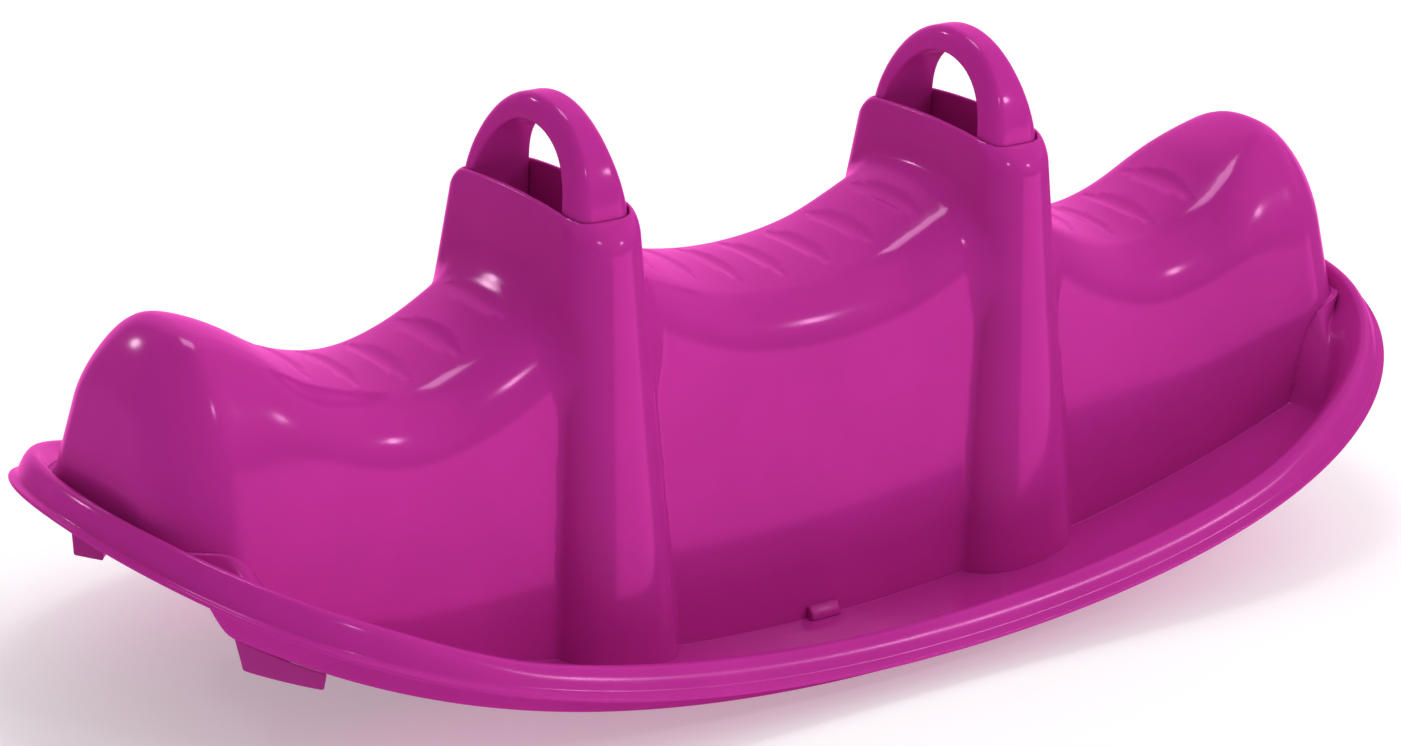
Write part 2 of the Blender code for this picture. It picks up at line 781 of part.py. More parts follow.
def build_foot(name, x_sign, y_sign):
    x, y = x_sign * FOOT_SCREW[0], y_sign * FOOT_SCREW[1]
    foot = new_object(name, [foot_solid(x_sign, y_sign)], (x, y, foot_bottom(x)))
    post = cylinder(x, y, 0.0, 0.0, 74.0, FOOT_POST_TOP, BOSS)
    combine(foot, "UNION", name + "_post_helper", [post])
    hole = cylinder(x, y, 0.0, 0.0, 40.0, 140.0, SCREW_CLEARANCE)
    combine(foot, "DIFFERENCE", name + "_hole_helper", [hole])
    recess = cylinder(x, y, 0.0, 0.0, 40.0, foot_bottom(FOOT_SCREW[0]) + 6.0, SCREW_HEAD + 0.6)
    combine(foot, "DIFFERENCE", name + "_recess_helper", [recess])
    return foot


def build_clip(name, y_sign):
    """Snap tab on the footwell floor that holds the shell's lower edge at the middle of a side."""
    z = floor_z(0.0) + GAP
    y = BODY_HALF_WIDTH + GAP
    profile = ((0.0, 0.0), (6.5, 0.0), (6.5, 2.2), (2.4, 8.5), (0.0, 8.5))
    rings = []
    for x in (-12.0, 12.0):
        rings.append([(x, y_sign * (y + out), z + up) for out, up in profile])
    return new_object(name, [stacked(rings)], (0.0, y_sign * y, z))


clear_scene()

shell_plastic = material("seat_shell_plastic", (0.60, 0.028, 0.35), 0.16)
tray_plastic = material("rocker_tray_plastic", (0.58, 0.027, 0.34), 0.18)
handle_plastic = material("handle_plastic", (0.61, 0.028, 0.355), 0.16)
foot_plastic = material("stop_foot_plastic", (0.50, 0.024, 0.30), 0.32)
clip_plastic = material("snap_clip_plastic", (0.56, 0.026, 0.33), 0.25)
screw_steel = material("screw_steel", (0.62, 0.62, 0.64), 0.34, 1.0)

sides = (("left", -1), ("right", 1))
depths = (("near", -1), ("far", 1))

made = [(build_shell(), shell_plastic), (build_tray(), tray_plastic)]
for side, x_sign in sides:
    made.append((build_handle("handle_" + side, x_sign * TOWER_X), handle_plastic))
for depth, y_sign in depths:
    made.append((build_clip("snap_clip_" + depth, y_sign), clip_plastic))
for side, x_sign in sides:
    for depth, y_sign in depths:
        place = side + "_" + depth
        made.append((build_foot("stop_foot_" + place, x_sign, y_sign), foot_plastic))
        x, y = x_sign * FOOT_SCREW[0], y_sign * FOOT_SCREW[1]
        start = foot_bottom(FOOT_SCREW[0]) + 6.0
        made.append((screw("foot_screw_" + place, x, y, start, 0.0, -GAP, FOOT_SCREW_LENGTH), screw_steel))
        x, y = x_sign * TOWER_X, y_sign * HANDLE_SCREW_Y
        bottom = -WALL - GAP
        made.append((screw("handle_screw_" + place, x, y, POCKET_FLOOR_Z, 0.0, bottom, 22.0), screw_steel))
for number, (x, y, z, tilt) in enumerate(base_screw_places(), 1):
    made.append((screw(f"base_screw_{number:02d}", x, y, z, tilt, -WALL - GAP, 24.0), screw_steel))

seesaw = bpy.data.objects.new("seesaw", None)
bpy.context.scene.collection.objects.link(seesaw)
for obj, finish in made:
    obj.data.materials.append(finish)
    obj.parent = seesaw
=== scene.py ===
"""Visual model of the three-seat rocking seesaw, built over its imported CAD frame.

Shapes are worked out in millimetres and become metres when a mesh is made. X runs along the length,
-Y is the near long side, +Z is up.
"""

import math

import bmesh
import bpy
import numpy as np
from mathutils import Matrix, Vector

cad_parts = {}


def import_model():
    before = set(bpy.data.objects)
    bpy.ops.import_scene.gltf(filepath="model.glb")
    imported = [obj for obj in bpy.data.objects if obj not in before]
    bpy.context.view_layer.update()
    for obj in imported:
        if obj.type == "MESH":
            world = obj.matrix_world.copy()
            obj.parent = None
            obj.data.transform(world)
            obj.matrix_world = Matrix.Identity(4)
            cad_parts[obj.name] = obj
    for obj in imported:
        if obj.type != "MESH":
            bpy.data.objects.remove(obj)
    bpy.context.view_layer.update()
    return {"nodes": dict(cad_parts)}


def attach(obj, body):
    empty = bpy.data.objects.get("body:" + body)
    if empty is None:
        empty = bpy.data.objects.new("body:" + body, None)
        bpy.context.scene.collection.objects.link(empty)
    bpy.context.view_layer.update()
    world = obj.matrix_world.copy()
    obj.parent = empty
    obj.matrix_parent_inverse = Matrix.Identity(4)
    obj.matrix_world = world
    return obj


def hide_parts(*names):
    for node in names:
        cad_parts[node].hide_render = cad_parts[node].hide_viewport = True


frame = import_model()

MM = 0.001
WALL = 3.0
SHELL_WALL = 3.5
GAP = 0.3
RIM_HALF = (515.0, 217.0)
RIM_POWER = (5.0, 2.15)
BODY_HALF_LENGTH = 486.5
BODY_CORNER = 48.0
BODY_STRAIGHT = BODY_HALF_LENGTH - BODY_CORNER
BODY_TOP_HALF_WIDTH = 73.0
END_DRAFT = 0.06
PLATFORM_Z = 142.0
FOOTWELL_DROP = 19.0
TOWER_X = 169.0
TOWER_FOOT_Z = 8.0
TOWER_SHOULDER_Z = 282.0
TOWER_TOP_Z = 301.0
TOWER_FOOT_HALF = (51.0, 122.0)
TOWER_SHOULDER_HALF = (28.5, 82.0)
POCKET_FLOOR_Z = 238.0
POCKET_HALF = (23.8, 66.3)
HANDLE_CORNER = 14.0
HANDLE_TOP_Z = 359.0
HANDLE_SPRING_Z = 285.0
HANDLE_HALF_SPAN = 66.0
HANDLE_THICKNESS = 16.5
HANDLE_CROWN_HALF_DEPTH = 14.5
LEDGE_LIFT = 9.0
BOSS_RADIUS = 6.5
BOSS_BORE = 2.3
BOSS_BORE_DEPTH = 26.0
BOSS_OFFSET = 19.0
BOSS_X = (60.0, 285.0, 400.0)
FOOT_TOP_RANGE = (412.0, 452.0)
FOOT_BOTTOM_RANGE = (413.3, 448.9)
FOOT_BOTTOM_Z = 61.2
FOOT_BOTTOM_SLOPE = 0.218
DIMPLE_HALF = (10.0, 40.0)
DIMPLE_DEPTH = 1.7
DIMPLE_ROWS = [37.0 * k for k in range(-3, 4)]
DIMPLE_ROWS += [side * (292.0 + 37.0 * k) for side in (-1, 1) for k in range(-2, 3)]
SEAT_LINE = (
    (0, 226), (38, 228.5), (75, 236), (108, 249), (135, 260), (169, 256), (200, 246), (219, 234),
    (255, 216), (303, 206), (340, 212), (375, 226), (405, 244), (428, 254), (446, 258), (470, 252),
    (520, 246),
)


# ---------------------------------------------------------------- shape functions


def lerp(a, b, t):
    return a + (b - a) * t


def smooth(t):
    t = np.clip(t, 0.0, 1.0)
    return t * t * (3.0 - 2.0 * t)


def curve_table(points, step=0.25, blur=6.0):
    """Even table of a smooth curve through (x, value) points, softened by a Gaussian of that width."""
    px = np.array([p[0] for p in points], float)
    pv = np.array([p[1] for p in points], float)
    slopes = np.gradient(pv, px)
    slopes[0] = 0.0
    xs = np.arange(0.0, px[-1] + step, step)
    k = np.clip(np.searchsorted(px, xs, side="right") - 1, 0, len(px) - 2)
    h = px[k + 1] - px[k]
    t = np.clip((xs - px[k]) / h, 0.0, 1.0)
    values = pv[k] * (2 * t**3 - 3 * t**2 + 1) + slopes[k] * h * (t**3 - 2 * t**2 + t)
    values += pv[k + 1] * (3 * t**2 - 2 * t**3) + slopes[k + 1] * h * (t**3 - t**2)
    reach = int(4 * blur / step)
    kernel = np.exp(-0.5 * (np.arange(-reach, reach + 1) * step / blur) ** 2)
    padded = np.concatenate([values[reach:0:-1], values, np.full(reach, values[-1])])
    return xs, np.convolve(padded, kernel / kernel.sum(), mode="valid")


SEAT_XS, SEAT_ZS = curve_table(SEAT_LINE)
SEAT_SLOPES = np.gradient(SEAT_ZS, SEAT_XS)


def seat_z(x):
    return np.interp(np.abs(x), SEAT_XS, SEAT_ZS)


def seat_slope(x):
    return np.interp(np.abs(x), SEAT_XS, SEAT_SLOPES)


def lip_z(x):
    """Height of the rim's lip, which follows the rocker."""
    u = np.maximum(np.abs(x), 20.0) / 515.0
    return 21.843 + 104.0 * u**2 + 15.4 * u**4


def crest_lift(x):
    """How much higher the rim's crest stands over its lip towards the ends, less again at the very tip."""
    return 7.0 * smooth((np.abs(x) - 290.0) / 130.0) * (1.0 - 0.5 * smooth((np.abs(x) - 485.0) / 30.0))


def footwell_z(x):
    return lip_z(x) - FOOTWELL_DROP


def skirt_end_z(x):
    """Height of the rim's inner corner round the ends, where there is no footwell."""
    return lip_z(x) + 9.0 + 0.6 * crest_lift(x)


def platform_share(x):
    """0 in the footwell and 1 on the platform: the riser starts in a short curve and flattens out above."""
    t = np.clip((np.abs(x) - 415.0) / 57.0, 0.0, 1.0)
    t = 1.05 * t * t / (t + 0.05)
    return 1.0 - (1.0 - t) ** 3


def floor_z(x):
    return lerp(footwell_z(x), PLATFORM_Z, platform_share(x))


def floor_depth(x):
    nose = platform_share(x)
    return WALL + 22.0 * nose * (1 - nose)


def skirt_share(x):
    return smooth((np.abs(x) - 452.0) / 26.0)


def skirt_z(x):
    """Bottom edge of the skirt outside the footwell, which keeps its depth past the riser."""
    return lerp(footwell_z(x), skirt_end_z(x), skirt_share(x)) - WALL


def edge_round(x):
    return lerp(25.0, 37.0, smooth((np.abs(x) - 370.0) / 70.0))


def crown(x):
    return lerp(11.0, 15.0, smooth((np.abs(x) - 380.0) / 60.0))


def base_half_width(x):
    return 95.5 + 9.0 * np.minimum(np.abs(x) / 485.0, 1.0) ** 2


def round_max(a, b, r):
    """Intersection of two solids with a rounded outer edge."""
    return np.minimum(-r, np.maximum(a, b)) + np.hypot(np.maximum(r + a, 0), np.maximum(r + b, 0))


def round_min(a, b, r):
    """Union of two solids with a filleted inner corner."""
    return np.maximum(r, np.minimum(a, b)) - np.hypot(np.maximum(r - a, 0), np.maximum(r - b, 0))


def rounded_box(x, y, half_x, half_y, corner):
    qx = np.abs(x) - (half_x - corner)
    qy = np.abs(y) - (half_y - corner)
    outside = np.hypot(np.maximum(qx, 0), np.maximum(qy, 0))
    return outside + np.minimum(np.maximum(qx, qy), 0) - corner


def body(p, inset=0.0, dimpled=True):
    """The bench without its towers: leaning walls, crowned seats and rounded top edges."""
    x, y, z = p
    crest = seat_z(x)
    top_edge = crest - crown(x) - edge_round(x)
    low = footwell_z(x)
    base = base_half_width(x)
    lean = (base - BODY_TOP_HALF_WIDTH) / (top_edge - low)
    half_width = base - lean * (z - low)
    half_length = BODY_HALF_LENGTH - END_DRAFT * (z - PLATFORM_Z)
    wall = rounded_box(x, y, half_length, half_width, BODY_CORNER) / np.sqrt(1 + lean**2)
    rise = crest - crown(x) * (y / 57.0) ** 2
    if dimpled:
        rise = rise - dimple_depth(x, y)
    slope = np.hypot(seat_slope(x), 2 * crown(x) * y / 57.0**2)
    top = (z - rise) / np.sqrt(1 + slope**2)
    return round_max(wall + inset, top + inset, edge_round(x) - inset)


def dimple_depth(x, y):
    """Rows of shallow pointed hollows across the seats."""
    along = np.maximum(1 - (y / DIMPLE_HALF[1]) ** 2, 0)
    half = DIMPLE_HALF[0] * along + 1e-6
    depth = np.zeros_like(x)
    for row in DIMPLE_ROWS:
        across = np.maximum(1 - ((x - row) / half) ** 2, 0)
        depth = depth + DIMPLE_DEPTH * along * across**1.5
    return depth


def tower_top(y):
    """Height of the tower's rim, which falls away more past its shoulders."""
    past = np.maximum(np.abs(y) - 50.0, 0.0)
    return TOWER_TOP_Z - 0.001 * y * y - 0.007 * past**2


def tower(p, side, inset=0.0):
    """A tapered tower with rounded ends. With an inset it is the tower's hollow, under the pocket."""
    x, y, z = p
    dx = np.abs(x - side * TOWER_X)
    share = (z - TOWER_FOOT_Z) / (TOWER_SHOULDER_Z - TOWER_FOOT_Z)
    half_depth = lerp(TOWER_FOOT_HALF[0], TOWER_SHOULDER_HALF[0], share)
    half_width = lerp(TOWER_FOOT_HALF[1], TOWER_SHOULDER_HALF[1], share)
    end = lerp(46.0, 25.0, share)
    power = lerp(2.5, 2.0, np.clip(share, 0, 1))
    away = np.maximum(np.abs(y) - (half_width - end), 0)
    around = (dx / half_depth) ** power + (away / end) ** power
    wall = (np.maximum(around, 1e-9) ** (1 / power) - 1) * end / 1.012
    fall = 0.002 * np.abs(y) + 0.014 * np.maximum(np.abs(y) - 50.0, 0.0)
    cap = (z - tower_top(y)) / np.sqrt(1 + fall**2)
    if inset:
        return np.maximum(wall + inset, z - (POCKET_FLOOR_Z - WALL))
    return round_max(wall, cap, lerp(1.9, 10.0, smooth((np.abs(y) - 50.0) / 22.0)))


def pocket(p, side):
    """The open pocket that holds the handle's legs."""
    x, y, z = p
    plan = rounded_box(x - side * TOWER_X, y, *POCKET_HALF, HANDLE_CORNER + GAP)
    return round_max(plan, POCKET_FLOOR_Z - z, 2.0)


def shell_outer(p):
    """The shell's outside: the body, the towers with a fillet round their feet, and the pockets cut in."""
    z = p[2]
    made = body(p)
    fillet = lerp(3.0, 12.0, smooth((z - 170.0) / 42.0))
    for side in (-1, 1):
        made = round_min(made, tower(p, side), fillet)
    for side in (-1, 1):
        made = round_max(made, -pocket(p, side), 1.2)
    return made


def shell_hollow(p):
    """The space inside the shell, which stops a wall's thickness under each pocket."""
    x, _, z = p
    made = body(p, SHELL_WALL, dimpled=False)
    for side in (-1, 1):
        near = np.abs(x - side * TOWER_X) < 30
        made = np.where(near, np.maximum(made, z - (POCKET_FLOOR_Z - WALL)), made)
    for side in (-1, 1):
        made = round_min(made, tower(p, side, SHELL_WALL), 8.0)
    for side in (-1, 1):
        made = np.maximum(made, -(pocket(p, side) - SHELL_WALL))
    return made


# ---------------------------------------------------------------- meshing


def gradient(f, p, step=0.05):
    """Slopes of f along the three axes."""
    parts = []
    for axis in range(3):
        ahead = [c.copy() for c in p]
        back = [c.copy() for c in p]
        ahead[axis] += step
        back[axis] -= step
        parts.append((f(ahead) - f(back)) / (2 * step))
    return parts


def surface_net(f, axes):
    """Points and quads of the surface f = 0 on a rectilinear grid, one point in each crossed cell."""
    grid = np.meshgrid(*axes, indexing="ij")
    field = f(grid)
    shape = np.array(field.shape)
    cells = shape - 1
    total = np.zeros(tuple(cells) + (3,))
    count = np.zeros(tuple(cells))
    crossings = []
    for axis in range(3):
        first = [slice(None)] * 3
        second = [slice(None)] * 3
        first[axis] = slice(0, -1)
        second[axis] = slice(1, None)
        a = field[tuple(first)]
        b = field[tuple(second)]
        hits = np.argwhere((a < 0) != (b < 0))
        fa = a[tuple(hits.T)]
        fb = b[tuple(hits.T)]
        share = fa / (fa - fb)
        point = np.stack([axes[k][hits[:, k]] for k in range(3)], axis=1)
        ahead = axes[axis][hits[:, axis] + 1]
        point[:, axis] = lerp(point[:, axis], ahead, share)
        others = [k for k in range(3) if k != axis]
        for da in (0, 1):
            for db in (0, 1):
                cell = hits.copy()
                cell[:, others[0]] -= da
                cell[:, others[1]] -= db
                inside = ((cell >= 0) & (cell < cells)).all(axis=1)
                index = tuple(cell[inside].T)
                np.add.at(total, index, point[inside])
                np.add.at(count, index, 1)
        crossings.append((hits, fa < 0, others))
    used = count > 0
    number = np.full(tuple(cells), -1)
    number[used] = np.arange(used.sum())
    points = total[used] / count[used][:, None]
    quads = []
    for axis, (hits, solid_first, others) in enumerate(crossings):
        inner = np.ones(len(hits), bool)
        for k in others:
            inner &= (hits[:, k] > 0) & (hits[:, k] < cells[k])
        hits = hits[inner]
        solid_first = solid_first[inner]
        corners = []
        for da, db in ((1, 1), (0, 1), (0, 0), (1, 0)):
            cell = hits.copy()
            cell[:, others[0]] -= da
            cell[:, others[1]] -= db
            corners.append(number[tuple(cell.T)])
        quad = np.stack(corners, axis=1)
        turn = solid_first if axis != 1 else ~solid_first
        quads.append(np.where(turn[:, None], quad, quad[:, ::-1]))
    return points, np.concatenate(quads)


def settle(f, points, rounds=4):
    """Moves the points onto the surface and returns them with its normals."""
    for _ in range(rounds):
        p = list(points.T)
        value = f(p)
        slope = np.stack(gradient(f, p), axis=1)
        square = np.maximum((slope**2).sum(axis=1), 0.05)
        move = (value / square)[:, None] * slope
        length = np.linalg.norm(move, axis=1, keepdims=True)
        points = points - move * np.minimum(1.0, 2.0 / np.maximum(length, 1e-9))
    normal = np.stack(gradient(f, list(points.T)), axis=1)
    normal /= np.maximum(np.linalg.norm(normal, axis=1, keepdims=True), 1e-9)
    return points, normal


def spaced(stops):
    """Grid positions between stops, each given as (place, step after it)."""
    made = []
    for (a, step), (b, _) in zip(stops, stops[1:]):
        made.append(np.linspace(a, b, max(1, round((b - a) / step)) + 1)[:-1])
    made.append([stops[-1][0]])
    return np.concatenate(made)


def mirrored(stops):
    """The same stops on both sides of zero."""
    half = spaced(stops)
    return np.concatenate([-half[:0:-1], half])


def sheet_mesh(f, axes, floor_lift, flip=False):
    """The surface of f above the tray's floor, with its normals. flip turns it to face inwards."""
    points, quads = surface_net(f, axes)
    points, normals = settle(f, points)
    keep = points[:, 2] > floor_z(points[:, 0]) + floor_lift
    # Points just under the cut slide up to it, so that the edge is clean.
    edge = np.zeros(len(points), bool)
    mixed = keep[quads].any(axis=1) & ~keep[quads].all(axis=1)
    edge[quads[mixed]] = True
    edge &= ~keep
    points[edge, 2] = floor_z(points[edge, 0]) + floor_lift
    keep |= edge
    quads = quads[keep[quads].all(axis=1)]
    used = np.unique(quads)
    renumber = np.full(len(points), -1)
    renumber[used] = np.arange(len(used))
    quads = renumber[quads]
    if flip:
        return points[used], quads[:, ::-1], -normals[used]
    return points[used], quads, normals[used]


def joined(parts):
    """One set of points, faces and normals from several."""
    points = []
    faces = []
    normals = []
    start = 0
    for part_points, part_faces, part_normals in parts:
        points.append(np.asarray(part_points, float))
        normals.append(np.asarray(part_normals, float))
        faces += [tuple(int(i) + start for i in face) for face in part_faces]
        start += len(part_points)
    return np.concatenate(points), faces, np.concatenate(normals)


def piece(cad_node, slot, finish, points, faces, normals=None):
    """A moulded piece in place of its CAD node, with its own vertex normals where they are given."""
    mesh = bpy.data.meshes.new(cad_node + "_visual")
    mesh.from_pydata((np.asarray(points) * MM).tolist(), [], [tuple(f) for f in faces])
    mesh.materials.append(finish)
    mesh.shade_smooth()
    obj = bpy.data.objects.new(cad_node + "_visual", mesh)
    bpy.context.scene.collection.objects.link(obj)
    if normals is not None:
        mesh.normals_split_custom_set_from_vertices(np.asarray(normals).tolist())
    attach(obj, "root")
    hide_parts(cad_node)
    return obj


# ---------------------------------------------------------------- tray


def rim_point(turn, inset):
    """Point on a quarter of the rim's plan, inset square to it. turn is 0 at the side and 1 at the tip."""
    a = math.pi / 2 * turn
    x = RIM_HALF[0] * max(math.sin(a), 0.0) ** (2 / RIM_POWER[0])
    y = RIM_HALF[1] * max(math.cos(a), 0.0) ** (2 / RIM_POWER[1])
    nx = RIM_POWER[0] / RIM_HALF[0] * (x / RIM_HALF[0]) ** (RIM_POWER[0] - 1)
    ny = RIM_POWER[1] / RIM_HALF[1] * (y / RIM_HALF[1]) ** (RIM_POWER[1] - 1)
    n = math.hypot(nx, ny)
    return x - inset * nx / n, y - inset * ny / n


def rim_turn(x, inset):
    """The turn at which the inset rim plan reaches this x."""
    low, high = 0.0, 1.0
    for _ in range(40):
        middle = (low + high) / 2
        if rim_point(middle, inset)[0] < x:
            low = middle
        else:
            high = middle
    return low


def wall_foot(x, y_share, angle):
    """Where the shell's wall meets the tray's floor, in plan."""
    wide = float(base_half_width(BODY_HALF_LENGTH))
    if angle == 0.0:
        base = (x, float(base_half_width(x)))
    elif y_share == 1.0:
        base = (BODY_STRAIGHT + BODY_CORNER * math.sin(angle), wide - BODY_CORNER * (1 - math.cos(angle)))
    else:
        base = (BODY_HALF_LENGTH, (wide - BODY_CORNER) * y_share)
    top_edge = float(seat_z(base[0]) - crown(base[0]) - edge_round(base[0]))
    lean = (wide - BODY_TOP_HALF_WIDTH) / (top_edge - float(footwell_z(base[0])))
    up = float(floor_z(base[0]) - footwell_z(base[0]))
    y = base[1] - lean * up * math.cos(angle) if y_share == 1.0 else base[1]
    return base[0] + END_DRAFT * (PLATFORM_Z - float(floor_z(base[0]))) * math.sin(angle), y


def tray_stations():
    """Stations round a quarter of the tray: x along the wall, share of the end's width, turn and progress."""
    stations = []
    for x in spaced([(0.0, 6.8), (407.0, 1.5), (BODY_STRAIGHT, 0.0)])[:-1]:
        stations.append((float(x), 1.0, 0.0, 0.0))
    corner, across = 26, 14
    for k in range(corner + across + 1):
        ahead = k / (corner + across)
        if k <= corner:
            angle = max(math.pi / 2 * k / corner, 1e-6)
            stations.append((BODY_STRAIGHT, 1.0, angle, ahead))
        else:
            stations.append((BODY_STRAIGHT, 1.0 - (k - corner) / across, math.pi / 2, ahead))
    return stations


def tray_corners(station):
    """Corners of the tray's section at a station, from the lip in to the ledge and back under, with radii."""
    x_along, y_share, angle, ahead = station
    wall_x, wall_y = wall_foot(x_along, y_share, angle)
    nx, ny = math.sin(angle), math.cos(angle)
    nose = float(platform_share(wall_x))
    low = float(floor_z(wall_x))
    deep = float(floor_depth(wall_x))

    def at(inset):
        return rim_point(lerp(rim_turn(min(x_along, BODY_STRAIGHT), inset), 1.0, ahead), inset)

    def out(inset, rise, lift=1.0):
        x, y = at(inset)
        return x, y, float(lip_z(x)) + rise + lift * float(crest_lift(x))

    def foot(inset, lift):
        x, y = at(inset)
        return x, y, lerp(float(footwell_z(x)), float(skirt_end_z(x)), nose) + lift

    def skirt(inset):
        x, y = at(inset)
        return x, y, float(skirt_z(x))

    def into(offset, lift):
        return wall_x - nx * offset, wall_y - ny * offset, low + lift

    edge = float(skirt_share(at(30.0)[0]))
    base = lerp(37.5, 24.0, edge)
    return [
        (out(0.0, -1.3, 0.0), 1.2),
        (out(0.0, 1.2, 0.0), 1.4),
        (out(4.6, 3.4, 0.0), 2.0),
        (out(9.0, 11.2, 0.7), 5.0),
        (out(13.2, 15.8), 5.0),
        (out(17.5, 17.0), 4.0),
        (out(lerp(21.8, 20.3, edge), lerp(15.3, 14.5, edge)), 4.0),
        (out(lerp(30.0, 22.5, edge), max(lerp(5.0, 11.0, edge), lerp(5.0, 11.0, nose))), 5.0),
        (foot(base + 0.5, 0.0), lerp(6.0, 2.0, edge)),
        (into(-2.6, 0.0), 0.5),
        (into(-1.4, 0.7), 0.5),
        (into(-0.3, 0.0), 0.3),
        (into(SHELL_WALL + 2.2, 0.0), 0.8),
        (into(SHELL_WALL + 4.0, 9.0), 0.8),
        (into(27.0, 9.0), 0.8),
        (into(27.0, 9.0 - deep), 0.8),
        (into(SHELL_WALL + 4.0 + WALL, 9.0 - deep), 0.8),
        (into(SHELL_WALL + 2.2 + WALL, -deep), 0.8),
        (foot(base + 3.0, -deep), 1.0),
        (skirt(base + 1.2), 0.6),
        (skirt(base - 2.0), lerp(5.0, 2.0, edge)),
        (out(lerp(27.5, 20.0, edge), lerp(3.0, 7.5, edge)), 4.0),
        (out(lerp(20.5, 18.3, edge), lerp(12.2, 11.5, edge)), 3.0),
        (out(16.6, 13.8), 3.0),
        (out(12.5, 10.2, 0.8), 2.0),
        (out(7.2, 2.0, 0.0), 1.5),
        (out(4.2, -1.3, 0.0), 0.8),
    ]


def rounded_section(corners, steps=5):
    """The closed section with each corner turned into a short curve."""
    made = []
    count = len(corners)
    for i in range(count):
        point, radius = corners[i]
        p = Vector(point)
        before = Vector(corners[i - 1][0]) - p
        after = Vector(corners[(i + 1) % count][0]) - p
        a = p + before * min(radius / before.length, 0.48)
        b = p + after * min(radius / after.length, 0.48)
        for k in range(steps + 1):
            t = k / steps
            made.append(a * (1 - t) ** 2 + p * 2 * t * (1 - t) + b * t * t)
    return made


def tray_mesh():
    """The tray as one closed loop of sections, from a quarter of it mirrored twice."""
    quarter = [rounded_section(tray_corners(station)) for station in tray_stations()]
    quarter = np.array([[list(point) for point in section] for section in quarter])
    flip_y = np.array([1.0, -1.0, 1.0])
    flip_x = np.array([-1.0, 1.0, 1.0])
    rings = [quarter, quarter[-2::-1] * flip_y, quarter[1:] * flip_x * flip_y, quarter[-2:0:-1] * flip_x]
    sections = np.concatenate(rings)
    count = sections.shape[1]
    total = len(sections)
    faces = []
    for i in range(total):
        here = i * count
        ahead = (i + 1) % total * count
        for k in range(count):
            n = (k + 1) % count
            faces.append((here + k, here + n, ahead + n, ahead + k))
    return sections.reshape(-1, 3), faces


# ---------------------------------------------------------------- handles and small pieces


def turned(profile, base, axis, steps=24):
    """Surface turned round an axis from (radius, height) points, each stretch with its own normals."""
    axis = np.array(axis, float)
    across = np.cross(axis, (0.0, 1.0, 0.0))
    across /= np.linalg.norm(across)
    along = np.cross(axis, across)
    points = []
    normals = []
    faces = []
    for (r0, h0), (r1, h1) in zip(profile, profile[1:]):
        start = len(points)
        flat = math.hypot(r1 - r0, h1 - h0)
        for k in range(steps):
            a = 2 * math.pi * k / steps
            out = across * math.cos(a) + along * math.sin(a)
            for r, h in ((r0, h0), (r1, h1)):
                points.append(np.array(base) + out * r + axis * h)
                normals.append((out * (h1 - h0) - axis * (r1 - r0)) / flat)
        for k in range(steps):
            here = start + 2 * k
            ahead = start + 2 * ((k + 1) % steps)
            faces.append((here, ahead, ahead + 1, here + 1))
    return points, faces, normals


def bosses():
    """Screw bosses inside the shell, from the tray's ledge up into the leaning wall."""
    made = []
    for x in BOSS_X:
        y = float(base_half_width(x)) - BOSS_OFFSET
        wall_height = float(seat_z(x) - crown(x) - edge_round(x) - footwell_z(x))
        lean = (float(base_half_width(x)) - BODY_TOP_HALF_WIDTH) / wall_height
        top = (BOSS_OFFSET - BOSS_RADIUS - SHELL_WALL + 2.3) / lean - LEDGE_LIFT
        slope = float(floor_z(x + 2.0) - floor_z(x - 2.0)) / 4.0
        low = 4 * GAP
        profile = (
            (0.05, BOSS_BORE_DEPTH),
            (BOSS_BORE, BOSS_BORE_DEPTH),
            (BOSS_BORE, low + 0.4),
            (BOSS_BORE + 0.4, low),
            (BOSS_RADIUS - 0.5, low),
            (BOSS_RADIUS, low + 0.5),
            (BOSS_RADIUS, top),
            (0.05, top),
        )
        for x_sign in (-1, 1):
            axis = np.array([-x_sign * slope, 0.0, 1.0]) / math.hypot(slope, 1.0)
            for y_sign in (-1, 1):
                base = (x_sign * x, y_sign * y, float(floor_z(x)) + LEDGE_LIFT)
                made.append(turned(profile, base, axis))
    return made


def band_section(half_depth, half_thick, steps=9):
    """Band's section as (depth, thickness) points: flat with small corners inside, rounded outside."""
    made = []
    big = (half_depth * HANDLE_CORNER / 23.5, 2 * half_thick * HANDLE_CORNER / HANDLE_THICKNESS)
    small = (1.8, 1.8)
    for sx, sy, turn, corner in ((1, 1, 0, big), (-1, 1, 90, big), (-1, -1, 180, small), (1, -1, 270, small)):
        for k in range(steps + 1):
            a = math.radians(turn + 90 * k / steps)
            x = sx * (half_depth - corner[0]) + corner[0] * math.cos(a)
            y = sy * (half_thick - corner[1]) + corner[1] * math.sin(a)
            made.append((x, y))
    return made


